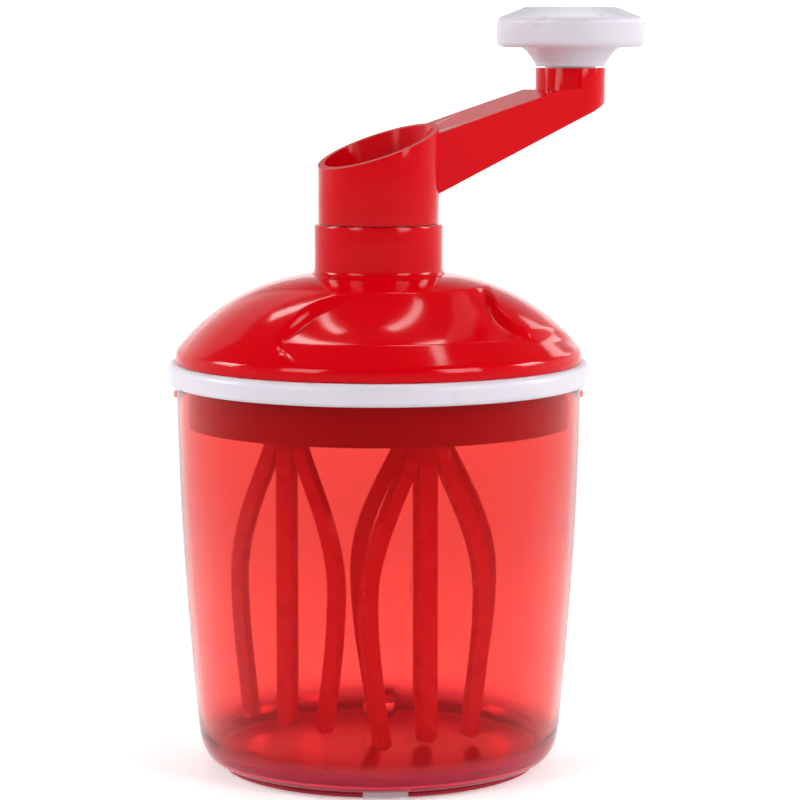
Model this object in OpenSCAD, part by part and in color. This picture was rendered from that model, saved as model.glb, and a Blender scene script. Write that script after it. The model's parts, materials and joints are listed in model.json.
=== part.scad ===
// Hand-cranked whisking bowl: a clear bowl, a domed lid with a hollow crank, and three
// planet whisks that spin inside a fixed ring gear as the crank carries them round.
// Frame: +Z up, origin on the axis at the underside of the foot, crank arm to the back right.

/* [Bowl] */
// Outer radius of the bowl wall at the rim
bowl_rim_r = 69; // [68.8:0.1:69.1]
// Outer radius of the bowl wall at half height
bowl_mid_r = 66.4; // [65.6:0.1:66.8]
// Outer radius of the bowl wall just above the base corner
bowl_base_r = 62; // [61:0.1:63]
// Thickness of the bowl wall
bowl_wall = 2.2; // [1.8:0.1:2.4]
// Height of the bowl rim above the table
bowl_h = 134.5; // [134:0.1:134.5]
// Outer radius of the foot ring
foot_r = 54; // [52:0.5:55]

/* [Lid] */
// Outer radius of the white seal ring, the widest part of the object
seal_r = 72; // [71:0.5:74]
// Height of the underside of the seal ring
seal_z = 131.2; // [131:0.1:131.6]
// Height of the top of the seal ring, where the lid rests on it
lid_z = 138.7; // [138.5:0.1:139]
// Outer radius of the lid dome at its lower edge
lid_r = 69; // [68:0.5:70]
// Radius of the arc that forms the dome in section
dome_arc_r = 68; // [67:0.5:69]
// Wall thickness of the lid
lid_wall = 2.6; // [2.2:0.1:2.8]
// Outer radius of the neck collar
neck_r = 21.8; // [21.5:0.1:22.5]
// Height of the top of the neck collar
neck_z = 185.3; // [185:0.1:186]
// Radius at which the finger scoops start in the dome
scoop_r = 37.5; // [36:0.5:39]

/* [Crank] */
// Outer radius of the crank hub
hub_r = 20.5; // [20:0.1:21]
// Height of the middle of the slanted funnel mouth
mouth_z = 211.5; // [210:0.5:213]
// Tilt of the funnel mouth
mouth_tilt = 19.8; // [15:0.1:24]
// Direction of the crank arm, from +X towards +Y
arm_turn = 29.5; // [0:0.5:60]
// Distance from the crank axis to the knob axis
arm_l = 77; // [70:0.5:84]
// Width of the crank arm
arm_w = 24; // [20:0.5:24]

/* [Knob] */
// Outer radius of the knob disc
knob_r = 25.9; // [22:0.1:27]
// Height of the flat top of the knob
knob_top = 258.3; // [257.8:0.1:259]

/* [Whisks] */
// Distance from the crank axis to each whisk axis
orbit_r = 31.5; // [31.5:0.5:31.5]
// Largest radius of a whisk about its own axis
whisk_r = 26; // [20:0.5:26.5]
// Height of the whisk tips above the table
tip_z = 12; // [9:0.1:16]
// Thickness of the flat whisk
whisk_t = 3.4; // [2.5:0.1:4]
// Width of the two bowed outer tines
tine_w = 5.6; // [4:0.1:6]
// Width of the straight middle tine
mid_tine_w = 7.2; // [5:0.1:8]

/* [Gears] */
// Gear module
gear_m = 1.5; // [1.5:0.5:1.5]
// Teeth on each planet gear
planet_teeth = 21; // [21:1:21]
// Teeth on the ring gear
ring_teeth = 63; // [63:1:63]
// Play between a planet tooth and its ring space, along the pitch circle
backlash = 0.36; // [0.3:0.02:0.5]

/* [Hidden] */
$fn = 96;

run_fit = 0.05;              // radial play of a shaft that turns in its bore
gap = 0.3;                   // play between faces that move past each other
screw_r = 1.5;
screw_hole_r = 1.6;
screw_pilot_r = 1.52;

// The bowl and its foot
foot_h = 2;
floor_top = 4.5;
mid_z = 66;
wall_slope = (bowl_rim_r - bowl_mid_r) / (bowl_h - mid_z);
function wall_r(z) = bowl_rim_r - (bowl_h - z) * wall_slope;
notch_w = 15;
notch_turn = -87.6;
lug_w = 7;
lug_z = seal_z - 4.7;

// The lid
skirt_r = 65;
skirt_in_r = 62.6;
skirt_z = lid_z - 21.2;
neck_bore_r = 19.8;
dome_top = lid_z + 29.8;
dome_lean = 5.5;             // slope of the dome where it meets the neck
dome_x = neck_r - dome_arc_r * sin(dome_lean);
dome_y = dome_top - dome_arc_r * cos(dome_lean);
scoop_top = lid_z + 26.4;
scoop_low = [67.4, lid_z + 5.5];
scoop_rise = (scoop_top - scoop_low[1]) / (scoop_low[0] - scoop_r);
neck_foot = lid_z + 19.3;    // the neck tube is sunk to here in the dome
lobe_turns = [0, 180];
// Plan of one raised lobe: the edge of the front scoop, then the edge of the back scoop
lobe_plan = [[0, 0], [38.7, -20], [42.6, -34.6], [51, -31.6], [62.5, -9.9], [69, 8], [80, 10],
    [80, 60], [28.8, 62], [28.8, 59.9], [32.9, 55.4], [33, 52.1], [30.9, 47.8], [25.6, 42.5],
    [20.1, 39.7], [12, 37.6]];
boss_turns = [-25, 45, 155, 225];
boss_circle_r = 57;
boss_r = 4;

// The gear train, from the bottom up
cover_z = skirt_z + 1.1;
cover_top = cover_z + 2.6;
flange_z = skirt_z + 3.5;
flange_top = flange_z + 3;
gear_z = flange_z + 2.9;
gear_top = gear_z + 8.1;
ring_top = gear_top + 1;
plate_z = gear_top + 2;
plate_top = plate_z + 3;
ring_out_r = 53;
cover_r = 48.6;
plate_r = 44;
pillar_r = 4.5;
pillar_circle_r = 34;
pillar_turns = [0, 120, 240];
whisk_turns = [180, 300, 60];
paddle_turns = [-42, 34, -7];
journal_r = 7 - run_fit;
top_journal_r = 4 - run_fit;
journal_z = skirt_z + 0.4;
socket_r = 4.45;
stem_r = 4.4;
stem_top = skirt_z + 12;
o_ring_z = skirt_z + 8.5;
o_ring_t = 0.5;
o_ring_r = 3.35;

// The hollow drive shaft
low_tube_r = 12;
low_bore_r = 9.8;
tube_r = 15.4;
tube_bore_r = 13.2;
barrel_r = 17.5;
barrel_bore_r = 15.45;
barrel_z = neck_z - 29.3;
tube_top = barrel_z + 8;
hub_bore_r = 18.3;
hub_z = neck_z + gap;
funnel_z = hub_z + 2.4;
funnel_h = 8;
pin_z = barrel_z + 3.2;
groove_z = barrel_z + 6.2;
groove_h = 1.5;
bush_z = groove_z + groove_h + gap;
groove_r = 16.4;

// The knob and its post
knob_x = arm_l * cos(arm_turn);
knob_y = arm_l * sin(arm_turn);
post_r = 12.2;
post_top = mouth_z + 25.8;
pin_r = 4;
pin_foot = post_top - 10;
knob_z = post_top + 0.5;
knob_washer_h = 0.4;
// Side of the knob's neck: radius and height above its foot
knob_neck = [[12, 0], [12.3, 1], [12.8, 1.9], [14.9, 4.7], [15.9, 5.6], [17.2, 6.3], [18.4, 6.75]];
disc_z = knob_z + 6.7;
disc_h = 9.8;
edge_r = 2.5;
knob_flat_r = 16;
knob_seat_z = knob_z + 14.7;
cap_z = knob_top - 2.7;

// Involute angle in degrees at a pressure angle
function inv(a) = tan(a) * 180 / PI - a;
// Half the angle of a tooth at radius r, for a gear of the given pitch radius
function half_tooth(r, pitch, teeth, play) =
    let (base = pitch * cos(20), a = r > base ? acos(base / r) : 0)
    90 / teeth + inv(20) - inv(a) - play / 2 / pitch * 180 / PI;
// One tooth outline from root to tip and back, with its middle at angle mid
function tooth(mid, radii, pitch, teeth, play) = concat(
    [for (r = radii) let (a = mid - half_tooth(r, pitch, teeth, play)) r * [cos(a), sin(a)]],
    [for (i = [len(radii) - 1:-1:0])
        let (r = radii[i], a = mid + half_tooth(r, pitch, teeth, play)) r * [cos(a), sin(a)]]
);
// A whole gear outline, with a tooth at angle start
function gear_points(teeth, radii, start, play) = [
    for (i = [0:teeth - 1])
        each tooth(start + i * 360 / teeth, radii, gear_m * teeth / 2, teeth, play)
];
planet_pitch_r = gear_m * planet_teeth / 2;
ring_pitch_r = gear_m * ring_teeth / 2;
planet_radii = [planet_pitch_r - gear_m, planet_pitch_r - 0.5 * gear_m,
    planet_pitch_r + 0.1, planet_pitch_r + 0.8 * gear_m];
ring_radii = [ring_pitch_r - 0.7 * gear_m, ring_pitch_r - 0.1,
    ring_pitch_r + 0.5 * gear_m, ring_pitch_r + gear_m];

// A cubic curve through its two ends, led by its two middle points
function curve(p, t) = pow(1 - t, 3) * p[0] + 3 * pow(1 - t, 2) * t * p[1]
    + 3 * (1 - t) * t * t * p[2] + t * t * t * p[3];
function side(a, b) = let (d = b - a) [-d[1], d[0]] / norm(d);
// A strip of even width along a list of points
function strip(p, w) = let (n = len(p) - 1) concat(
    [for (i = [0:n]) p[i] + side(p[max(i - 1, 0)], p[min(i + 1, n)]) * w / 2],
    [for (i = [n:-1:0]) p[i] - side(p[max(i - 1, 0)], p[min(i + 1, n)]) * w / 2]
);
whisk_hub_r = 8;
whisk_hub_z = skirt_z - 8.5;
bow_r = whisk_r - tine_w / 2;
bow_z = 62;
bow_top = [[5.5, whisk_hub_z + 3], [7.5, whisk_hub_z - 7], [bow_r, 83], [bow_r, bow_z]];
bow_low = [[bow_r, bow_z], [bow_r, 45], [bow_r - 3, 30], [bow_r - 5.4, tip_z + tine_w / 2]];
bow_line = concat(
    [for (i = [0:9]) curve(bow_top, i / 10)],
    [for (i = [0:8]) curve(bow_low, i / 8)]
);

module ring(r_out, r_in, z, h) {
    translate([0, 0, z])
        difference() {
            cylinder(r = r_out, h = h);
            translate([0, 0, -1])
                cylinder(r = r_in, h = h + 2);
        }
}

module at_each(turns, r) {
    for (a = turns)
        rotate([0, 0, a])
            translate([r, 0, 0])
                children();
}

module screw(head_z, length) {
    translate([0, 0, head_z])
        difference() {
            cylinder(r = 3, h = 2, $fn = 48);
            translate([0, 0, -0.1])
                cylinder(r = 1.7, h = 1.3, $fn = 6);
        }
    translate([0, 0, head_z + 2])
        cylinder(r = screw_r, h = length, $fn = 32);
}

// Half section of the bowl, drawn in by inset, from its floor to above its rim
module bowl_section(inset, floor_z, above) {
    rim = bowl_rim_r - inset;
    base = bowl_base_r - inset;
    polygon([[0, floor_z], [foot_r + 1 - inset, floor_z], [base - 3.4, floor_z + 1],
        [base - 1, floor_z + 5.5], [base, floor_z + 10], [bowl_mid_r - inset, mid_z],
        [rim, bowl_h], [rim, bowl_h + above], [0, bowl_h + above]]);
}

module bowl() {
    color([0.98, 0.38, 0.35, 0.5])
        difference() {
            union() {
                rotate_extrude($fn = 180)
                    difference() {
                        bowl_section(0, foot_h, 0);
                        bowl_section(bowl_wall, floor_top, 0.1);
                    }
                ring(foot_r, foot_r - 5, foot_h - 0.8, 0.9);
                intersection() {
                    ring(wall_r(lug_z) + 0.9, wall_r(lug_z) - 1, lug_z, 2);
                    cube([200, lug_w, 400], center = true);
                }
            }
            cylinder(r = foot_r - 1, h = foot_h);
            foot_notch();
        }
}

// Finger notch through the foot, at the front
module foot_notch() {
    rotate([0, 0, notch_turn])
        translate([40, -notch_w / 2, -1])
            cube([20, notch_w, foot_h + 1]);
}

module base_pad() {
    color([0.85, 0.2, 0.22])
        difference() {
            union() {
                cylinder(r = foot_r - 1, h = foot_h);
                cylinder(r = foot_r, h = foot_h - 0.8);
            }
            foot_notch();
        }
}

module seal_ring() {
    rim = bowl_rim_r - wall_slope * (bowl_h - seal_z);
    color([0.93, 0.92, 0.94])
        rotate_extrude($fn = 180)
            difference() {
                union() {
                    translate([skirt_r + run_fit, seal_z])
                        square([seal_r - skirt_r - 2, lid_z - seal_z]);
                    translate([seal_r - 2, seal_z + 2])
                        circle(r = 2, $fn = 48);
                    translate([seal_r - 2, lid_z - 2])
                        circle(r = 2, $fn = 48);
                    translate([seal_r - 3, seal_z + 2])
                        square([3, lid_z - seal_z - 4]);
                }
                translate([rim - bowl_wall - gap, seal_z - 1])
                    square([bowl_wall + 2 * gap + 0.3, bowl_h + gap - seal_z + 1]);
            }
}

// The dome, drawn in by inset
module dome_form(inset, r_max) {
    rotate_extrude($fn = 180)
        intersection() {
            translate([dome_x, dome_y])
                circle(r = dome_arc_r - inset, $fn = 180);
            translate([0, lid_z - 1])
                square([r_max, dome_arc_r]);
        }
}

// The cone of the finger scoops, drawn in by inset
module scoop_form(inset) {
    rotate_extrude($fn = 180)
        translate([0, -inset])
            polygon([[0, 0], [0, scoop_top + scoop_r * scoop_rise], scoop_low,
                scoop_low + [8, -8 * scoop_rise], [scoop_low[0] + 8, 0]]);
}

// One lobe in plan, drawn in by trim: a degree is about a millimetre there
module lobe_form(trim) {
    points = [for (p = lobe_plan) p - trim * p / max(norm(p), 1)];
    intersection() {
        rotate([0, 0, trim])
            polygon(points);
        rotate([0, 0, -trim])
            polygon(points);
    }
}

module lid_form(inset, trim, r_max) {
    intersection() {
        dome_form(inset, r_max);
        scoop_form(inset);
    }
    intersection() {
        dome_form(inset, r_max);
        translate([0, 0, lid_z - 2])
            linear_extrude(60)
                for (a = lobe_turns)
                    rotate([0, 0, a])
                        lobe_form(trim);
    }
}

module lid() {
    color([0.82, 0, 0.05])
        difference() {
            union() {
                difference() {
                    union() {
                        intersection() {
                            lid_form(0, 0, lid_r);
                            translate([0, 0, lid_z])
                                cylinder(r = 100, h = 100);
                        }
                        ring(skirt_r, 50, skirt_z, lid_z - skirt_z + 1);
                    }
                    lid_form(lid_wall, 3, skirt_in_r);
                    translate([0, 0, skirt_z - 1])
                        cylinder(r = skirt_in_r, h = lid_z - skirt_z + 1);
                }
                translate([0, 0, neck_foot])
                    cylinder(r = neck_r, h = neck_z - neck_foot);
                intersection() {
                    lid_form(1, 0, lid_r);
                    translate([0, 0, lid_z])
                        at_each(boss_turns, boss_circle_r)
                            cylinder(r = boss_r, h = 20, $fn = 32);
                }
                translate([0, 0, flange_top])
                    at_each(boss_turns, boss_circle_r)
                        cylinder(r = boss_r, h = lid_z - flange_top + 1, $fn = 32);
            }
            translate([0, 0, neck_foot - 12])
                cylinder(r = neck_bore_r, h = 50);
            at_each(boss_turns, boss_circle_r)
                translate([0, 0, flange_top - 1])
                    cylinder(r = screw_pilot_r, h = 11, $fn = 32);
        }
}

module ring_gear() {
    color([0.9, 0.9, 0.88])
        difference() {
            union() {
                translate([0, 0, flange_z])
                    cylinder(r = ring_out_r, h = ring_top - flange_z);
                translate([0, 0, flange_z])
                    cylinder(r = skirt_in_r - gap, h = flange_top - flange_z);
            }
            translate([0, 0, flange_z - 1])
                linear_extrude(ring_top - flange_z + 2)
                    polygon(gear_points(ring_teeth, ring_radii, whisk_turns[0], -backlash / 2));
            translate([0, 0, flange_z - 1])
                cylinder(r = cover_r + 0.7, h = 3);
            at_each(boss_turns, boss_circle_r)
                translate([0, 0, flange_z - 1])
                    cylinder(r = screw_hole_r, h = 10, $fn = 32);
        }
}

module ring_gear_screws() {
    color([0.75, 0.76, 0.78])
        at_each(boss_turns, boss_circle_r)
            screw(flange_z - 2, 12);
}

module neck_bush() {
    color([0.9, 0.9, 0.88])
        ring(neck_bore_r, barrel_r + run_fit, bush_z, neck_z - 0.6 - bush_z);
}

module thrust_washer() {
    color([0.75, 0.76, 0.78])
        ring(neck_bore_r - 0.1, barrel_r + 0.3, neck_z - 0.6, 0.6);
}

// Height of the arm's straight underside above the funnel mouth, at distance s from the crank axis
function arm_low(s) = 0.43 * (s - hub_r) - 14.4;

// A side view, along the arm's length and up, given a width
module arm_slice(side_view, width) {
    translate([0, 0, mouth_z])
        rotate([90, 0, 0])
            translate([0, 0, -width / 2])
                linear_extrude(width)
                    polygon(side_view);
}

module crank_arm() {
    root = hub_r - 4;
    inner = arm_l - post_r - 1;
    outer = arm_l + post_r + 1;
    top = post_top - mouth_z;
    arm_slice([[root, arm_low(root)], [arm_l, arm_low(arm_l)], [arm_l, 19], [arm_l - 12, 18.1],
        [arm_l / 2 + 4, 11.8], [root, 4.3]], arm_w);
    intersection() {
        translate([arm_l, 0, mouth_z])
            cylinder(r = post_r, h = top);
        arm_slice([[inner, arm_low(inner)], [outer, arm_low(outer)], [outer, top + 1],
            [inner, top + 1]], 4 * post_r);
    }
}

module crank() {
    color([0.82, 0, 0.05])
        difference() {
            union() {
                difference() {
                    translate([0, 0, hub_z])
                        cylinder(r = hub_r, h = 45);
                    translate([0, 0, mouth_z])
                        rotate([0, 0, arm_turn])
                            rotate([0, -mouth_tilt, 0])
                                translate([-60, -60, 0])
                                    cube([120, 120, 60]);
                }
                rotate([0, 0, arm_turn])
                    crank_arm();
                translate([0, 0, barrel_z])
                    cylinder(r = barrel_r, h = hub_z - barrel_z + 1);
            }
            translate([0, 0, funnel_z + funnel_h])
                cylinder(r = hub_bore_r, h = 60);
            translate([0, 0, funnel_z])
                cylinder(r1 = barrel_bore_r, r2 = hub_bore_r, h = funnel_h + 0.01);
            translate([0, 0, barrel_z - 1])
                cylinder(r = barrel_bore_r, h = 40);
            ring(barrel_r + 1, groove_r, groove_z, groove_h);
            at_each([arm_turn + 90, arm_turn - 90], 10)
                translate([0, 0, pin_z])
                    rotate([0, 90, 0])
                        cylinder(r = screw_r, h = 12, $fn = 32);
            translate([knob_x, knob_y, pin_foot])
                cylinder(r = pin_r, h = 12, $fn = 48);
        }
}

module retaining_ring() {
    color([0.75, 0.76, 0.78])
        difference() {
            ring(neck_bore_r - 0.5, groove_r, groove_z, groove_h);
            rotate([0, 0, 40])
                translate([10, -2.5, groove_z - 1])
                    cube([20, 5, 5]);
        }
}

module carrier() {
    color([0.9, 0.9, 0.88])
        difference() {
            union() {
                translate([0, 0, cover_z])
                    cylinder(r = low_tube_r, h = plate_top - cover_z);
                translate([0, 0, plate_z])
                    cylinder(r = plate_r, h = plate_top - plate_z);
                translate([0, 0, plate_top - 1])
                    cylinder(r = tube_r, h = tube_top - plate_top + 1);
                translate([0, 0, cover_top])
                    at_each(pillar_turns, pillar_circle_r)
                        cylinder(r = pillar_r, h = plate_z - cover_top + 1, $fn = 48);
            }
            translate([0, 0, cover_z - 1])
                cylinder(r = low_bore_r, h = 30);
            translate([0, 0, plate_top - 3])
                cylinder(r1 = low_bore_r, r2 = tube_bore_r, h = 8);
            translate([0, 0, plate_top + 4.9])
                cylinder(r = tube_bore_r, h = 40);
            at_each(whisk_turns, orbit_r)
                translate([0, 0, plate_z - 1])
                    cylinder(r = top_journal_r + run_fit, h = 5, $fn = 48);
            at_each(pillar_turns, pillar_circle_r)
                translate([0, 0, cover_top - 1])
                    cylinder(r = screw_pilot_r, h = 11, $fn = 32);
            at_each([arm_turn + 90, arm_turn - 90], 10)
                translate([0, 0, pin_z])
                    rotate([0, 90, 0])
                        cylinder(r = screw_r, h = 12, $fn = 32);
        }
}

module drive_pins() {
    color([0.75, 0.76, 0.78])
        at_each([arm_turn + 90, arm_turn - 90], tube_bore_r + 0.1)
            translate([0, 0, pin_z])
                rotate([0, 90, 0])
                    cylinder(r = screw_r, h = 4, $fn = 32);
}

module carrier_cover() {
    color([0.82, 0, 0.05])
        difference() {
            translate([0, 0, cover_z])
                cylinder(r = cover_r, h = cover_top - cover_z);
            translate([0, 0, cover_z - 1])
                cylinder(r = low_tube_r + run_fit, h = 5);
            at_each(whisk_turns, orbit_r)
                translate([0, 0, cover_z - 1])
                    cylinder(r = journal_r + run_fit, h = 5);
            at_each(pillar_turns, pillar_circle_r)
                translate([0, 0, cover_z - 1])
                    cylinder(r = screw_hole_r, h = 5, $fn = 32);
        }
}

module carrier_screws() {
    color([0.75, 0.76, 0.78])
        at_each(pillar_turns, pillar_circle_r)
            screw(cover_z - 2, 12);
}

module planet_washers() {
    color([0.9, 0.9, 0.88])
        at_each(whisk_turns, orbit_r)
            ring(10, journal_r + 0.3, cover_top, gear_z - gap - cover_top);
}

module place_whisk(i) {
    rotate([0, 0, whisk_turns[i]])
        translate([orbit_r, 0, 0])
            rotate([0, 0, -whisk_turns[i]])
                children();
}

module planet_gear(i) {
    color([0.9, 0.9, 0.88])
        place_whisk(i)
            difference() {
                union() {
                    translate([0, 0, gear_z])
                        linear_extrude(gear_top - gear_z)
                            polygon(gear_points(planet_teeth, planet_radii,
                                whisk_turns[i], backlash / 2));
                    translate([0, 0, journal_z])
                        cylinder(r = journal_r, h = gear_z - journal_z + 1);
                    translate([0, 0, gear_top - 1])
                        cylinder(r = 8, h = plate_z - gap - gear_top + 1);
                    translate([0, 0, plate_z - 1])
                        cylinder(r = top_journal_r, h = plate_top - plate_z + 1.5, $fn = 48);
                }
                rotate([0, 0, paddle_turns[i]])
                    translate([0, 0, journal_z - 1])
                        cylinder(r = socket_r, h = stem_top - journal_z + 1.5, $fn = 6);
            }
}

module whisk(i) {
    color([0.7, 0, 0.08])
        place_whisk(i)
            rotate([0, 0, paddle_turns[i]])
                difference() {
                    union() {
                        translate([0, 0, journal_z - 1])
                            cylinder(r = stem_r, h = stem_top - journal_z + 1, $fn = 6);
                        translate([0, 0, whisk_hub_z])
                            cylinder(r = whisk_hub_r, h = journal_z - whisk_hub_z, $fn = 48);
                        rotate([90, 0, 0])
                            translate([0, 0, -whisk_t / 2])
                                linear_extrude(whisk_t)
                                    whisk_outline();
                    }
                    ring(stem_r + 1, o_ring_r - o_ring_t, o_ring_z - 0.6, 1.2);
                }
}

module whisk_outline() {
    tip_r = tine_w / 2;
    for (m = [0, 1])
        mirror([m, 0]) {
            polygon(strip(bow_line, tine_w));
            translate([bow_low[3][0], bow_low[3][1]])
                circle(r = tip_r, $fn = 24);
        }
    translate([-mid_tine_w / 2, tip_z + mid_tine_w / 2])
        square([mid_tine_w, whisk_hub_z - tip_z]);
    translate([0, tip_z + mid_tine_w / 2])
        circle(r = mid_tine_w / 2, $fn = 32);
}

module whisk_o_ring(i) {
    color([0.2, 0.2, 0.2])
        place_whisk(i)
            translate([0, 0, o_ring_z])
                rotate_extrude($fn = 48)
                    translate([o_ring_r, 0])
                        circle(r = o_ring_t, $fn = 16);
}

module knob_pin() {
    color([0.75, 0.76, 0.78])
        translate([knob_x, knob_y, 0]) {
            translate([0, 0, pin_foot])
                cylinder(r = pin_r, h = knob_seat_z + gap - pin_foot, $fn = 48);
            translate([0, 0, knob_seat_z + gap])
                cylinder(r = 6.5, h = 1.8, $fn = 48);
        }
}

module knob_washer() {
    color([0.75, 0.76, 0.78])
        translate([knob_x, knob_y, 0])
            ring(9, pin_r, post_top, knob_washer_h);
}

module knob() {
    color([0.93, 0.92, 0.94])
        translate([knob_x, knob_y, 0])
            difference() {
                rotate_extrude($fn = 96)
                    union() {
                        translate([0, knob_z])
                            polygon(concat([[0, 0]], knob_neck, [[0, 7]]));
                        translate([0, disc_z])
                            square([knob_r - edge_r, disc_h]);
                        for (z = [disc_z + edge_r, disc_z + disc_h - edge_r])
                            translate([knob_r - edge_r, z])
                                circle(r = edge_r, $fn = 32);
                        translate([0, disc_z + edge_r])
                            square([knob_r, disc_h - 2 * edge_r]);
                        polygon([[0, disc_z], [knob_r - edge_r, disc_z + disc_h],
                            [knob_flat_r, knob_top], [0, knob_top]]);
                    }
                translate([0, 0, knob_z - 1])
                    cylinder(r = pin_r + run_fit, h = 30, $fn = 48);
                translate([0, 0, knob_seat_z])
                    cylinder(r = 7.5, h = 30, $fn = 48);
                translate([0, 0, cap_z])
                    cylinder(r = 9, h = 30);
            }
}

module knob_cap() {
    color([0.93, 0.92, 0.94])
        translate([knob_x, knob_y, cap_z])
            cylinder(r = 9, h = knob_top - cap_z);
}

bowl();
base_pad();
seal_ring();
lid();
ring_gear();
ring_gear_screws();
neck_bush();
thrust_washer();
crank();
retaining_ring();
carrier();
drive_pins();
carrier_cover();
carrier_screws();
planet_washers();
planet_gear(0);  // planet_gear_1
planet_gear(1);  // planet_gear_2
planet_gear(2);  // planet_gear_3
whisk(0);  // whisk_1
whisk(1);  // whisk_2
whisk(2);  // whisk_3
whisk_o_ring(0);  // whisk_o_ring_1
whisk_o_ring(1);  // whisk_o_ring_2
whisk_o_ring(2);  // whisk_o_ring_3
knob_pin();
knob_washer();
knob();
knob_cap();
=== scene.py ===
import json
import math

import bmesh
import bpy
import numpy as np
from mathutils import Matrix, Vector

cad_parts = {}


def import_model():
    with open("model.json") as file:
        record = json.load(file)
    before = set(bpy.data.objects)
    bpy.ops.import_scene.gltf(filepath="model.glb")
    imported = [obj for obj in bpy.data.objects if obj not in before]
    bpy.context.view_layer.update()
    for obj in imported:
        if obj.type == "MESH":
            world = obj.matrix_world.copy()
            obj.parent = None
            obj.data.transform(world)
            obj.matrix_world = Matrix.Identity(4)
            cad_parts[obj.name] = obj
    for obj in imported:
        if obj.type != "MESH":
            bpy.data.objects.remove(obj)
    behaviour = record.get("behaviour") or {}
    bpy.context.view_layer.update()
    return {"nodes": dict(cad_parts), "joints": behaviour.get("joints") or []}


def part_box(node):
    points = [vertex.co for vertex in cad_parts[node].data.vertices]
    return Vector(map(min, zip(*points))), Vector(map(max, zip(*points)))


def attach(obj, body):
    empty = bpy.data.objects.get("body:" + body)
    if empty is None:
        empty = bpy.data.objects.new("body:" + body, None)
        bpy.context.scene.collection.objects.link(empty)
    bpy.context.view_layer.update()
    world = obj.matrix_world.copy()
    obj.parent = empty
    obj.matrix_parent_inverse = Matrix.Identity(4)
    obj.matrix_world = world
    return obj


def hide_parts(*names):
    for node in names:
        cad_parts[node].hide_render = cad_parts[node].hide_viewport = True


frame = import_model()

MM = 0.001                    # the outlines below are written in millimetres


def span(node):
    """Lowest and highest corner of a CAD node, in millimetres."""
    low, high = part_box(node)
    return np.array(low) / MM, np.array(high) / MM


# Places read from the frame, in millimetres
seal_low, seal_high = span("seal_ring")
lid_low, lid_high = span("lid")
knob_low, knob_high = span("knob")
knob_joint = next(j for j in frame["joints"] if j["name"] == "knob_spin")
knob_axis = np.array(knob_joint["pos_m"][:2]) / MM

LID_Z = seal_high[2]          # the lid rests on the seal ring here
SEAL_Z = seal_low[2]
SEAL_R = seal_high[0]
RIM_Z = span("bowl")[1][2]
NECK_Z = lid_high[2]
SKIRT_Z = lid_low[2]
KNOB_Z = knob_low[2]
KNOB_TOP = knob_high[2]
KNOB_R = (knob_high[0] - knob_low[0]) / 2


# ---------------------------------------------------------------- shapes

SHARP_ANGLE = math.radians(32)     # edges of new pieces that turn by more than this stay crisp
BEVEL_ANGLE = math.radians(35)     # edges of CAD nodes that turn by more than this are softened
WELD = 1e-6                        # metres within which a CAD node's vertices are joined
SAME_POINT = 1e-7                  # and the same for a new piece


def unit(v):
    """The vector of length 1 in the direction of v."""
    return v / np.linalg.norm(v)


def rounded(corners, steps=6):
    """A closed outline of (x, y, corner radius), with each corner turned into an arc."""
    points = []
    count = len(corners)
    for i, (x, y, radius) in enumerate(corners):
        p = np.array((x, y), float)
        if radius == 0:
            points.append(p)
            continue
        u = unit(np.array(corners[i - 1][:2]) - p)
        v = unit(np.array(corners[(i + 1) % count][:2]) - p)
        half = math.acos(np.clip(u @ v, -1, 1)) / 2
        centre = p + unit(u + v) * radius / math.sin(half)
        start = p + u * radius / math.tan(half) - centre
        end = p + v * radius / math.tan(half) - centre
        first = math.atan2(start[1], start[0])
        turn = (math.atan2(end[1], end[0]) - first + math.pi) % math.tau - math.pi
        for k in range(steps + 1):
            angle = first + turn * k / steps
            points.append(centre + radius * np.array((math.cos(angle), math.sin(angle))))
    return points


def bezier(a, b, c, d, steps):
    """Points along a cubic curve, without its last one."""
    a, b, c, d = (np.array(p, float) for p in (a, b, c, d))
    return [
        (1 - t) ** 3 * a + 3 * (1 - t) ** 2 * t * b + 3 * (1 - t) * t * t * c + t ** 3 * d
        for t in np.arange(steps) / steps
    ]


def piece(name, verts, faces, body, material, replaces):
    """A new mesh piece from points in millimetres, on a body, in place of CAD nodes."""
    mesh = bpy.data.meshes.new(name)
    mesh.from_pydata([tuple(v) for v in np.asarray(verts) * MM], [], faces)
    obj = bpy.data.objects.new(name, mesh)
    bpy.context.scene.collection.objects.link(obj)
    bm = bmesh.new()
    bm.from_mesh(mesh)
    bmesh.ops.remove_doubles(bm, verts=bm.verts, dist=SAME_POINT)
    bmesh.ops.recalc_face_normals(bm, faces=bm.faces)
    bm.to_mesh(mesh)
    bm.free()
    mesh.shade_smooth()
    mesh.set_sharp_from_angle(angle=SHARP_ANGLE)
    mesh.materials.append(material)
    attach(obj, body)
    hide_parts(*replaces)


def grid_faces(rows, columns, closed_rows):
    """Quads between neighbouring sections; columns wrap round, rows wrap only if closed."""
    last = rows if closed_rows else rows - 1
    return [
        (i * columns + j, i * columns + (j + 1) % columns,
         (i + 1) % rows * columns + (j + 1) % columns, (i + 1) % rows * columns + j)
        for i in range(last) for j in range(columns)
    ]


def lathe(outline, turns, centre=(0, 0)):
    """Verts and faces of a closed outline (r, z) turned about an upright axis."""
    angles = np.arange(turns) * math.tau / turns
    verts = [
        (centre[0] + r * math.cos(a), centre[1] + r * math.sin(a), z)
        for r, z in outline for a in angles
    ]
    return verts, grid_faces(len(outline), turns, True)


# ---------------------------------------------------------------- materials

def shader(name, colour, roughness, **sockets):
    """A material with a Principled shader; returns it with its tree and shader node."""
    material = bpy.data.materials.new(name)
    material.use_nodes = True
    tree = material.node_tree
    node = tree.nodes["Principled BSDF"]
    node.inputs["Base Color"].default_value = (*colour, 1)
    node.inputs["Roughness"].default_value = roughness
    for socket, value in sockets.items():
        node.inputs[socket.replace("_", " ")].default_value = value
    return material, tree, node


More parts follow.
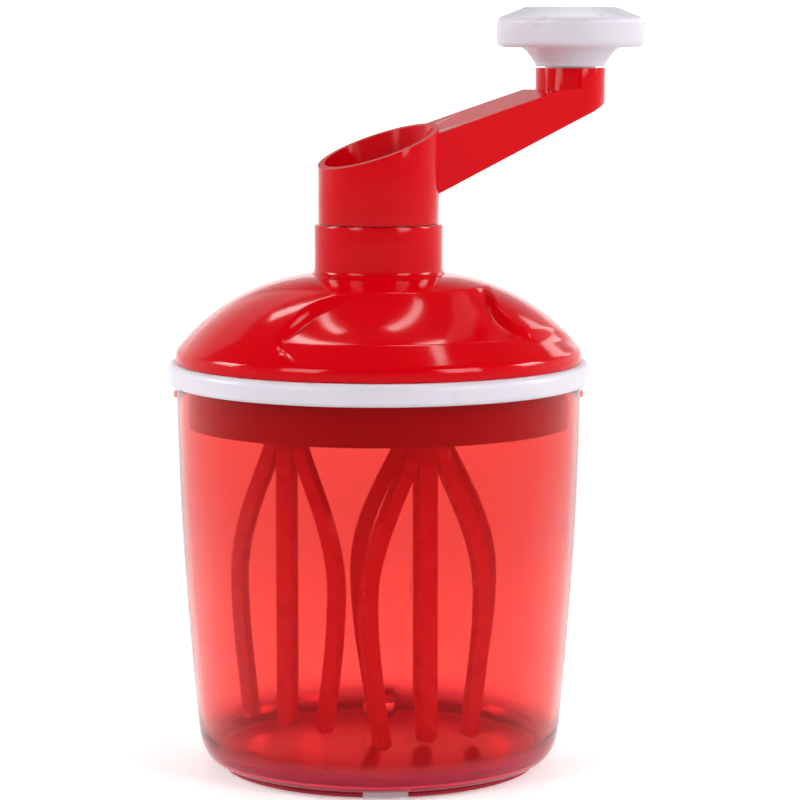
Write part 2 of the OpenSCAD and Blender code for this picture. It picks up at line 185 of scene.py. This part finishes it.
def noise(tree, scale, detail, stretch=(1, 1, 1)):
    """Noise over the object's own coordinates; scale is in features per metre."""
    place = tree.nodes.new("ShaderNodeTexCoord")
    mapping = tree.nodes.new("ShaderNodeMapping")
    mapping.inputs["Scale"].default_value = stretch
    texture = tree.nodes.new("ShaderNodeTexNoise")
    texture.inputs["Scale"].default_value = scale
    texture.inputs["Detail"].default_value = detail
    tree.links.new(place.outputs["Object"], mapping.inputs["Vector"])
    tree.links.new(mapping.outputs["Vector"], texture.inputs["Vector"])
    return texture.outputs["Fac"]


def coordinates(tree, kind):
    """The X, Y and Z of the shading point, in its Object or Generated coordinates."""
    place = tree.nodes.new("ShaderNodeTexCoord")
    split = tree.nodes.new("ShaderNodeSeparateXYZ")
    tree.links.new(place.outputs[kind], split.inputs["Vector"])
    return split.outputs


def level(tree, factor, limits, values):
    """A number that goes from one value to the other while the factor passes its limits."""
    node = tree.nodes.new("ShaderNodeMapRange")
    node.inputs["From Min"].default_value = limits[0]
    node.inputs["From Max"].default_value = limits[1]
    node.inputs["To Min"].default_value = values[0]
    node.inputs["To Max"].default_value = values[1]
    tree.links.new(factor, node.inputs["Value"])
    return node.outputs["Result"]


def vary(tree, factor, low, high, socket):
    """Drives a number socket between low and high with noise, which mostly lies in 0.3 to 0.7."""
    tree.links.new(level(tree, factor, (0.3, 0.7), (low, high)), socket)


def tint(tree, factor, stops, socket):
    """Drives a colour socket through stops of (factor, colour)."""
    ramp = tree.nodes.new("ShaderNodeValToRGB")
    elements = ramp.color_ramp.elements
    while len(elements) < len(stops):
        elements.new(0.5)
    for element, (position, colour) in zip(elements, stops):
        element.position = position
        element.color = (*colour, 1)
    tree.links.new(factor, ramp.inputs["Fac"])
    tree.links.new(ramp.outputs["Color"], socket)


def mottle(tree, scale, first, second, socket, detail=2.0):
    """Lets a colour socket drift between two colours with noise."""
    tint(tree, noise(tree, scale, detail), [(0.35, first), (0.65, second)], socket)


def bump(tree, factor, height, node):
    """Raises the surface by a noise, height in metres."""
    bumps = tree.nodes.new("ShaderNodeBump")
    bumps.inputs["Strength"].default_value = 1
    bumps.inputs["Distance"].default_value = height
    tree.links.new(factor, bumps.inputs["Height"])
    tree.links.new(bumps.outputs["Normal"], node.inputs["Normal"])


def moulded(name, colour, second, roughness, wave=0.000006, **sockets):
    """Moulded plastic: a slight drift of colour and gloss, and the waviness of a moulding."""
    material, tree, node = shader(name, colour, roughness, **sockets)
    mottle(tree, 18, colour, second, node.inputs["Base Color"])
    vary(tree, noise(tree, 160, 4), roughness * 0.85, roughness * 1.2, node.inputs["Roughness"])
    bump(tree, noise(tree, 60, 1), wave, node)
    return material


def clear_plastic():
    """Clear tinted plastic of the bowl, cloudier in its floor and base corner, with painted shade in
    dark bands at its base.
    """
    material, tree, node = shader(
        "clear_red_plastic", (0.93, 0.25, 0.22), 0.03, IOR=1.49, Transmission_Weight=1.0,
        Specular_Tint=(1.0, 0.15, 0.18, 1.0)
    )
    above_table = coordinates(tree, "Object")["Z"]
    height = level(tree, above_table, (0.0, 0.020), (0.0, 1.0))
    # Painted shade: the dark band colour on the foot and just above the floor's level stands in for
    # shade at the bowl's base. The narrow stripe of floor colour between these bands on the outer
    # base is a painted highlight line. The tint deepens from the wall down into the base corner.
    floor, corner, wall = (0.92, 0.035, 0.085), (0.70, 0.06, 0.10), (0.93, 0.235, 0.21)
    painted_shade_band = (0.36, 0.010, 0.035)
    stops = [(0.19, painted_shade_band), (0.215, floor), (0.24, floor), (0.27, painted_shade_band), (0.44, corner), (0.85, wall)]
    tint(tree, height, stops, node.inputs["Base Color"])
    clear = level(tree, above_table, (0.0046, 0.013), (0.3, 1.0))
    tree.links.new(clear, node.inputs["Transmission Weight"])
    vary(tree, noise(tree, 40, 3), 0.02, 0.05, node.inputs["Roughness"])
    return material


def rubber(name, colour, second):
    """Rubber: matt, with a fine grain."""
    material, tree, node = shader(name, colour, 0.6)
    mottle(tree, 90, colour, second, node.inputs["Base Color"], 3)
    vary(tree, noise(tree, 400, 4), 0.5, 0.7, node.inputs["Roughness"])
    bump(tree, noise(tree, 2500, 2), 0.00002, node)
    return material


def steel(name):
    """Plain steel with fine turning marks."""
    material, tree, node = shader(name, (0.6, 0.6, 0.61), 0.25, Metallic=1.0)
    marks = noise(tree, 900, 3, (1, 1, 12))
    vary(tree, marks, 0.18, 0.34, node.inputs["Roughness"])
    mottle(tree, 60, (0.55, 0.55, 0.56), (0.66, 0.66, 0.67), node.inputs["Base Color"])
    bump(tree, marks, 0.000004, node)
    return material


gloss_red = moulded("gloss_red", (0.615, 0.0, 0.004), (0.58, 0.0, 0.004), 0.10,
                    Specular_IOR_Level=0.2)
# Painted light: the whisks' red is lighter than the lid's so that the whisks inside the bowl look as
# brightly lit as the lid.
whisk_red_painted_light = moulded("whisk_red_painted_light", (0.84, 0.0, 0.024), (0.82, 0.0, 0.022), 0.28, 0.000002,
                    Specular_IOR_Level=0.3)
white = moulded("soft_white", (0.67, 0.635, 0.70), (0.65, 0.615, 0.68), 0.32)
acetal = moulded("acetal", (0.74, 0.73, 0.68), (0.70, 0.69, 0.64), 0.38)
clear_red = clear_plastic()
foot_rubber = rubber("foot_rubber", (0.48, 0.008, 0.030), (0.43, 0.007, 0.026))
black_rubber = rubber("black_rubber", (0.02, 0.02, 0.02), (0.03, 0.03, 0.03))
plain_steel = steel("plain_steel")

CAD_LOOKS = {
    gloss_red: ["crank", "carrier_cover"],
    whisk_red_painted_light: ["whisk_1", "whisk_2", "whisk_3"],
    foot_rubber: ["base_pad"],
    acetal: ["ring_gear", "neck_bush", "carrier", "planet_washers", "planet_gear_1",
             "planet_gear_2", "planet_gear_3"],
    plain_steel: ["ring_gear_screws", "thrust_washer", "retaining_ring", "drive_pins",
                  "carrier_screws", "knob_pin", "knob_washer"],
    black_rubber: ["whisk_o_ring_1", "whisk_o_ring_2", "whisk_o_ring_3"],
}
SOFT_EDGES = {"crank": 0.0008, "whisk_1": 0.0011, "whisk_2": 0.0011, "whisk_3": 0.0011,
              "base_pad": 0.0002, "carrier_cover": 0.0003}


def dress(node, material):
    """Gives a CAD node its material and, where it shows, softened edges."""
    obj = frame["nodes"][node]
    obj.data.materials.clear()
    obj.data.materials.append(material)
    if node in SOFT_EDGES:
        weld = obj.modifiers.new("weld", "WELD")
        weld.merge_threshold = WELD
        bevel = obj.modifiers.new("soft_edges", "BEVEL")
        bevel.width = SOFT_EDGES[node]
        bevel.segments = 3
        bevel.limit_method = "ANGLE"
        bevel.angle_limit = BEVEL_ANGLE
        bevel.harden_normals = True


for look, nodes in CAD_LOOKS.items():
    for cad_node in nodes:
        dress(cad_node, look)


# ---------------------------------------------------------------- bowl

FOOT_IN, FOOT_R = 53.0, 54.0  # inner and outer radius of the foot ring
FOOT_TOP = 2.0                # underside of the bowl round the foot ring
FOOT_DEEP = 0.8               # height of the foot ring, which sits on the base pad's step
WALL = 2.2
FLOOR_Z = 4.5
BASE_R, BASE_Z = 62.0, 12.0   # where the base corner meets the wall
MID_R, MID_Z = 66.4, 66.0
RIM_R = 69.0
NOTCH_TURN = math.radians(-87.6)
STRIP_HALF = 7.5              # half width of the notch and of the raised strip above it
STRIP_RISE = 0.35
STRIP_R, STRIP_LOW = 58.0, 3.0  # the strip starts beyond this radius and height
STRIP_TOP = 74.0
STRIP_EDGE = 0.12             # half width of the step at the strip's sides
MARK_HALF = STRIP_HALF * 0.3  # where the small mark across the strip ends
MARK_RISE = 0.15
MARK_LOW, MARK_TOP = 34.0, 34.6
LUG_HALF = 3.5
LUG_EDGE = 0.06
LUG_RISE = 0.85
LUG_LOW, LUG_TOP = 126.5, 128.5
SIDE_MARGIN = 0.9             # plain wall meshed beside the strip and the lugs
KEEP_OUT = math.radians(9)    # the evenly spaced columns stay this far from their centres


def wall_r(z):
    """Outer radius of the bowl wall: a parabola through base, middle and rim."""
    low = (MID_R - BASE_R) / (MID_Z - BASE_Z)
    high = (RIM_R - MID_R) / (RIM_Z - MID_Z)
    bend = (high - low) / (RIM_Z - BASE_Z)
    return BASE_R + low * (z - BASE_Z) + bend * (z - BASE_Z) * (z - MID_Z)


def bowl_outline():
    """Outer and inner outline (r, z) of the bowl: from the axis under it and up, then back inside."""
    ring = FOOT_TOP - FOOT_DEEP
    outer = [(0, FOOT_TOP), (30, FOOT_TOP), (FOOT_IN - 0.1, FOOT_TOP), (FOOT_IN, FOOT_TOP - 0.1),
             (FOOT_IN, ring + 0.05), (FOOT_IN + 0.1, ring), (FOOT_R - 0.1, ring),
             (FOOT_R, ring + 0.1), (FOOT_R, FOOT_TOP - 0.1), (FOOT_R + 0.2, FOOT_TOP)]
    outer += bezier((54.6, 2), (59.0, 2), (61.2, 6.4), (BASE_R, BASE_Z), 12)
    # Some heights stand close together, on either side of the mark's and the lugs' edges
    heights = [12, 16, 21, 27, 33.5, 34.1, 34.5, 35.1, 41, 48, 55, 62, 69, 73, 76, 83,
               90, 97, 104, 111, 118, 126.4, 126.6, 128.4, 128.6, 133.6]
    outer += [(wall_r(z), z) for z in heights]
    outer += [(RIM_R - 0.1, RIM_Z - 0.3), (RIM_R - 0.5, RIM_Z)]
    inner = [(RIM_R - WALL + 0.5, RIM_Z), (RIM_R - WALL + 0.1, RIM_Z - 0.3)]
    inner_heights = [133.6, 125, 115, 105, 95, 85, 75, 66, 57, 48, 39, 30, 22]
    inner += [(wall_r(z) - WALL, z) for z in inner_heights]
    inner += bezier((wall_r(14.5) - WALL, 14.5), (59.1, 8.8), (57.0, FLOOR_Z), (52.8, FLOOR_Z), 12)
    inner += [(52.8, FLOOR_Z), (30, FLOOR_Z), (0, FLOOR_Z)]
    return outer, inner


def station_angle(station, r):
    """Angle of a mesh column at radius r: fixed, or x millimetres to the side of a centre."""
    base, centre, x = station
    return base if centre is None else base + math.asin(x / max(r, 50))


def bowl():
    """The clear bowl, with its foot notch, the raised strip over it, and two lugs."""
    outer, inner = bowl_outline()
    rows = [(r, z, True) for r, z in outer] + [(r, z, False) for r, z in inner]
    centres = {NOTCH_TURN: STRIP_HALF, 0.0: LUG_HALF, math.pi: LUG_HALF}
    stations = []
    for angle in np.radians(np.arange(0, 360, 2.5)):
        near = min(abs((angle - c + math.pi) % math.tau - math.pi) for c in centres)
        if near > KEEP_OUT:
            stations.append((angle % math.tau, None, 0.0))
    for centre, half in centres.items():
        edge = STRIP_EDGE if half == STRIP_HALF else LUG_EDGE
        # 0.26 and 0.34 stand on either side of the mark's end
        for x in (-half - SIDE_MARGIN, -half - edge, -half + edge, -half * 0.6, -half * 0.2,
                  half * 0.1, half * 0.26, half * 0.34, half * 0.6, half - edge, half + edge,
                  half + SIDE_MARGIN):
            stations.append((centre % math.tau, centre, x))
    stations.sort(key=lambda s: station_angle(s, 60) % math.tau)
    verts = []
    for r, z, outside in rows:
        for station in stations:
            centre, x = station[1], station[2]
            radius, height = r, z
            if centre == NOTCH_TURN and abs(x) < STRIP_HALF and outside:
                if STRIP_LOW < z < STRIP_TOP and r > STRIP_R:
                    radius += STRIP_RISE
                if MARK_LOW < z < MARK_TOP and x < MARK_HALF:
                    radius += MARK_RISE
                if z < FOOT_TOP:
                    height = FOOT_TOP
            if centre in (0.0, math.pi) and abs(x) < LUG_HALF and outside:
                if LUG_LOW < z < LUG_TOP:
                    radius += LUG_RISE
            angle = station_angle(station, r)
            verts.append((radius * math.cos(angle), radius * math.sin(angle), height))
    faces = grid_faces(len(rows), len(stations), False)
    piece("bowl_body", verts, faces, "bowl", clear_red, ["bowl"])


bowl()


# ---------------------------------------------------------------- seal ring

def seal_ring():
    """The white rim ring, with the groove that sits over the bowl's rim."""
    groove_in, groove_out, groove_top = 66.4, 69.45, RIM_Z + 0.3
    outline = rounded([
        (65.05, LID_Z, 0.3), (SEAL_R, LID_Z, 2.4), (SEAL_R, SEAL_Z, 2.4),
        (groove_out, SEAL_Z, 0.3), (groove_out, groove_top, 0.3), (groove_in, groove_top, 0.3),
        (groove_in, SEAL_Z, 0.3), (65.05, SEAL_Z, 0.3),
    ])
    verts, faces = lathe(outline, 180)
    piece("seal_ring_body", verts, faces, "lid", white, ["seal_ring"])


seal_ring()


# ---------------------------------------------------------------- knob

CAP_Z = KNOB_TOP - 2.7        # underside of the disc that closes the knob


def knob():
    """The mushroom knob, bored for its pin."""
    bore, seat, seat_z, cap_r = 4.05, 7.5, KNOB_Z + 14.7, 9.0
    disc_z = KNOB_Z + 6.7
    outline = rounded([
        (cap_r, CAP_Z, 0), (seat, CAP_Z, 0), (seat, seat_z, 0), (bore, seat_z, 0),
        (bore, KNOB_Z, 0), (12.1, KNOB_Z, 0.4), (12.5, KNOB_Z + 1.3, 2.0),
        (15.3, KNOB_Z + 5.2, 4.0), (17.2, KNOB_Z + 6.5, 1.5), (KNOB_R, disc_z, 2.5),
        (KNOB_R, disc_z + 9.9, 2.6), (16, KNOB_TOP, 2.5), (cap_r, KNOB_TOP, 0.25),
    ], 8)
    verts, faces = lathe(outline, 128, knob_axis)
    piece("knob_body", verts, faces, "knob", white, ["knob"])


def knob_cap():
    """The disc that closes the knob."""
    r = 8.95
    outline = rounded([(0, CAP_Z, 0), (r, CAP_Z, 0), (r, KNOB_TOP, 0.35), (5, KNOB_TOP, 0),
                       (0, KNOB_TOP, 0)], 4)
    verts, faces = lathe(outline, 96, knob_axis)
    piece("knob_cap_disc", verts, faces, "knob", white, ["knob_cap"])


knob()
knob_cap()


# ---------------------------------------------------------------- lid

LID_R = 69.0
NECK_R, NECK_BORE = 21.8, 19.8
DOME_R = 68.0                       # radius of the dome's arc in section
DOME_X, DOME_Z = 15.28, LID_Z - 37.88
SCOOP_TOP = (37.5, LID_Z + 26.4)    # the scoop's floor leaves the dome here
SCOOP_LIP = (60.0, LID_Z + 11.4)    # a soft edge across the floor
SCOOP_LOW = (67.4, LID_Z + 5.5)
SCOOP_HOLLOW = 1.3
SKIRT_R, SKIRT_IN = 65.0, 62.6
LID_WALL = 2.6
COLLAR_TOP, COLLAR_LOW = LID_Z + 25.5, LID_Z + 19.3  # ends of the neck collar's part below the dome
CREASE = 0.8                        # half width of the rounded edge of a scoop
SCOOP_WALL = (2.4, 3.2)             # plan width of a scoop's wall in its left and right part
LID_TURNS = 720                     # columns round the lid: fine, to keep the scoops' edges clean
# Plan of the front scoop's edge, seen from above; the back one is the same, turned half way
SCOOP_EDGE = [
    (0, -34), (-12, -37.2), (-20.1, -39.7), (-25.9, -43.2), (-30.9, -48.2), (-33, -52.1),
    (-32.9, -55.4), (-30.6, -58.6), (-28.0, -62.5), (-20, -74), (0, -80), (30, -76), (58, -52),
    (74, -16), (72, 2), (67, 2), (62.5, -9.9), (51.5, -30.8), (47.5, -34.6), (43.2, -34.2),
    (39.5, -29.5), (37.5, -20), (36.5, -8), (30, 4), (16, -20),
]


def dome_z(r):
    """Height of the dome at radius r, without its scoops."""
    return DOME_Z + np.sqrt(np.maximum(DOME_R ** 2 - (r - DOME_X) ** 2, 0))


def floor_z(r):
    """Height of the scoop's floor: slightly hollow down to a lip, then steeper to the rim."""
    share = np.clip((r - SCOOP_TOP[0]) / (SCOOP_LIP[0] - SCOOP_TOP[0]), 0, 1)
    hollow = SCOOP_HOLLOW * 4 * share * (1 - share)
    upper = SCOOP_TOP[1] + (SCOOP_LIP[1] - SCOOP_TOP[1]) * share - hollow
    before = SCOOP_TOP[1] + 0.75 * (SCOOP_TOP[0] - r)
    beyond = (SCOOP_LOW[1] - SCOOP_LIP[1]) / (SCOOP_LOW[0] - SCOOP_LIP[0])
    lower = SCOOP_LIP[1] + beyond * (r - SCOOP_LIP[0])
    return np.where(r < SCOOP_TOP[0], before, np.where(r < SCOOP_LIP[0], upper, lower))


def smooth_loop(points, steps=8):
    """A closed curve through points, without overshoot worth speaking of."""
    p = np.array(points, float)
    out = []
    for i in range(len(p)):
        a, b, c, d = p[i - 1], p[i], p[(i + 1) % len(p)], p[(i + 2) % len(p)]
        for t in np.arange(steps) / steps:
            out.append(0.5 * (2 * b + (c - a) * t + (2 * a - 5 * b + 4 * c - d) * t * t
                              + (3 * b - a - 3 * c + d) * t ** 3))
    return np.array(out)


def inside_by(points, loop):
    """How far each point lies inside a closed loop, in its own unit; negative outside."""
    best = np.full(len(points), 1e9)
    inside = np.zeros(len(points), bool)
    for a, b in zip(loop, np.roll(loop, -1, 0)):
        along = b - a
        t = np.clip((points - a) @ along / (along @ along), 0, 1)
        best = np.minimum(best, np.linalg.norm(points - a - t[:, None] * along, axis=1))
        crosses = (a[1] > points[:, 1]) != (b[1] > points[:, 1])
        if a[1] != b[1]:
            x = a[0] + (points[:, 1] - a[1]) * along[0] / along[1]
            inside ^= crosses & (points[:, 0] < x)
    return np.where(inside, best, -best)


def lid_top(points):
    """Height of the lid's outer surface over plan points (x, y) in millimetres."""
    r = np.linalg.norm(points, axis=1)
    dome = dome_z(r)
    depth = np.maximum(dome - floor_z(r), 0) * (r > SCOOP_TOP[0] - 4)
    edge = smooth_loop(SCOOP_EDGE)
    deep = np.maximum(inside_by(points, edge), inside_by(-points, edge))
    soft = np.where(points[:, 0] * np.sign(-points[:, 1]) < 5, *SCOOP_WALL)
    blend = np.clip(deep + CREASE, 0, 2 * CREASE) ** 2 / (4 * CREASE)
    share = np.clip(np.where(deep < CREASE, blend, deep) / soft, 0, 1)
    cut = 1 - (1 - share) ** 2
    return dome - depth * cut


def lid():
    """The lid: one closed section that changes round the axis as the scoops come and go."""
    angles = np.arange(LID_TURNS) * math.tau / LID_TURNS
    radii = np.concatenate([[NECK_R + 1.0, NECK_R + 2.2], np.linspace(25.5, 66.8, 104),
                            [67.4, 67.9, 68.3]])
    rows = []

    def ring_row(r, z):
        rows.append([(r * math.cos(a), r * math.sin(a), z) for a in angles])

    def top_row(r, drop=0.0):
        points = np.stack([r * np.cos(angles), r * np.sin(angles)], 1)
        heights = lid_top(points) - drop
        rows.append([(x, y, z) for (x, y), z in zip(points, heights)])

    for r, z in ((NECK_BORE, NECK_Z - 0.4), (NECK_BORE + 0.15, NECK_Z - 0.1),
                 (NECK_BORE + 0.4, NECK_Z), (NECK_R - 0.7, NECK_Z), (NECK_R - 0.2, NECK_Z - 0.2),
                 (NECK_R, NECK_Z - 0.7), (NECK_R, NECK_Z - 6), (NECK_R, LID_Z + 36),
                 (NECK_R, LID_Z + 32), (NECK_R + 0.05, LID_Z + 31.2), (NECK_R + 0.3, LID_Z + 30.5)):
        ring_row(r, z)
    for r in radii:
        top_row(r)
    top_row(68.7, 0.15)
    for r, z in ((LID_R, LID_Z + 2.2), (LID_R, LID_Z + 0.4), (LID_R - 0.3, LID_Z),
                 (SKIRT_R + 0.2, LID_Z), (SKIRT_R, LID_Z - 0.2), (SKIRT_R, LID_Z - 8),
                 (SKIRT_R, SKIRT_Z + 0.5), (SKIRT_R - 0.15, SKIRT_Z + 0.12),
                 (SKIRT_R - 0.5, SKIRT_Z), (SKIRT_IN + 0.5, SKIRT_Z),
                 (SKIRT_IN + 0.15, SKIRT_Z + 0.12), (SKIRT_IN, SKIRT_Z + 0.5),
                 (SKIRT_IN, LID_Z - 6), (SKIRT_IN, LID_Z + 2)):
        ring_row(r, z)
    for r in (60, 55, 50, 45, 40, 35, 30, 26, 23):
        top_row(r, LID_WALL)
    ring_row(NECK_R, COLLAR_TOP)
    ring_row(NECK_R, COLLAR_LOW)
    ring_row(NECK_BORE, COLLAR_LOW)
    ring_row(NECK_BORE, NECK_Z - 8)
    verts = [v for row in rows for v in row]
    faces = grid_faces(len(rows), LID_TURNS, True)
    piece("lid_shell", verts, faces, "lid", gloss_red, ["lid"])


lid()


# ---------------------------------------------------------------- stage, light and camera

FLOOR_GAP = 0.0002            # metres that the floor lies below the base pad


def stage():
    """A pale floor that glows faintly, more so away from the object, and sweeps up at the back."""
    half, back, bend, height, steps = 20.0, 1.6, 0.35, 0.5, 12
    section = [(-half, 0.0), (back - bend, 0.0)]
    for k in range(1, steps + 1):
        t = math.pi / 2 * k / steps
        section.append((back - bend + bend * math.sin(t), bend * (1 - math.cos(t))))
    section.append((back, height))
    verts = [(x, y, z - FLOOR_GAP) for y, z in section for x in (-half, half)]
    faces = [(2 * i, 2 * i + 1, 2 * i + 3, 2 * i + 2) for i in range(len(section) - 1)]
    mesh = bpy.data.meshes.new("floor")
    mesh.from_pydata(verts, [], faces)
    mesh.shade_smooth()
    obj = bpy.data.objects.new("floor", mesh)
    bpy.context.scene.collection.objects.link(obj)
    material, tree, node = shader("floor_white", (0.92, 0.92, 0.92), 0.9, Emission_Color=(1, 1, 1, 1))
    place = tree.nodes.new("ShaderNodeTexCoord")
    distance = tree.nodes.new("ShaderNodeVectorMath")
    distance.operation = "LENGTH"
    tree.links.new(place.outputs["Object"], distance.inputs[0])
    glow = level(tree, distance.outputs["Value"], (0.4, 1.2), (0.25, 0.50))
    tree.links.new(glow, node.inputs["Emission Strength"])
    mottle(tree, 3, (0.915, 0.915, 0.915), (0.93, 0.93, 0.93), node.inputs["Base Color"])
    mesh.materials.append(material)


def softbox(name, place, target, size, power, spread=180):
    """A rectangular area light at place, in metres, facing target, with its beam in degrees."""
    data = bpy.data.lights.new(name, "AREA")
    data.shape = "RECTANGLE"
    data.size, data.size_y = size
    data.energy = power
    data.spread = math.radians(spread)
    obj = bpy.data.objects.new(name, data)
    bpy.context.scene.collection.objects.link(obj)
    obj.location = place
    aim = Vector(target) - Vector(place)
    obj.rotation_euler = aim.to_track_quat("-Z", "Y").to_euler()


def world():
    """Soft surroundings: bright low behind the object, dim above it and on the camera's side."""
    made = bpy.data.worlds.new("studio")
    made.use_nodes = True
    tree = made.node_tree
    background = tree.nodes["Background"]
    direction = coordinates(tree, "Generated")
    along = level(tree, direction["Y"], (-0.6, 0.6), (0.45, 1.0))
    above = level(tree, direction["Z"], (0.08, 0.5), (1.0, 0.12))
    both = tree.nodes.new("ShaderNodeMath")
    both.operation = "MULTIPLY"
    tree.links.new(along, both.inputs[0])
    tree.links.new(above, both.inputs[1])
    tree.links.new(both.outputs["Value"], background.inputs["Strength"])
    background.inputs["Color"].default_value = (1, 1, 1, 1)
    bpy.context.scene.world = made


def camera():
    """The camera, in front of the object and a little above it; down and turn are in degrees."""
    down, turn = 7.06, -0.404
    data = bpy.data.cameras.new("camera")
    data.sensor_width = 36
    data.lens = 137.25
    obj = bpy.data.objects.new("camera", data)
    bpy.context.scene.collection.objects.link(obj)
    obj.location = (0, -1.033, 0.253)
    obj.rotation_euler = (math.radians(90 - down), 0, math.radians(turn))
    bpy.context.scene.camera = obj


stage()
world()
softbox("key_left", (-0.80, -0.80, 0.80), (0, 0, 0.12), (0.5, 0.6), 0.82, 60)
softbox("key_right", (0.85, -0.75, 0.75), (0, 0, 0.12), (0.5, 0.6), 1.0, 60)
softbox("side_left", (-1.10, 0.15, 0.62), (0, 0, 0.03), (0.4, 0.4), 0.45, 40)
softbox("side_right", (1.10, 0.15, 0.62), (0, 0, 0.03), (0.4, 0.4), 0.45, 40)
softbox("over_middle", (0.21, 0.285, 1.26), (0, 0, 0.15), (0.38, 0.08), 0.9)
softbox("over_left", (-0.275, 0.40, 1.18), (0, 0, 0.15), (0.24, 0.07), 0.5)
softbox("back_left", (-0.61, 0.98, 0.70), (0, 0, 0.15), (0.75, 0.72), 0.8)
softbox("back_right", (0.66, 0.93, 0.60), (0, 0, 0.15), (0.25, 0.32), 0.6)
softbox("backdrop", (0, 0.95, 1.35), (0, 1.45, 0.05), (1.4, 0.3), 10)
camera()
bpy.context.scene.view_settings.view_transform = "Standard"
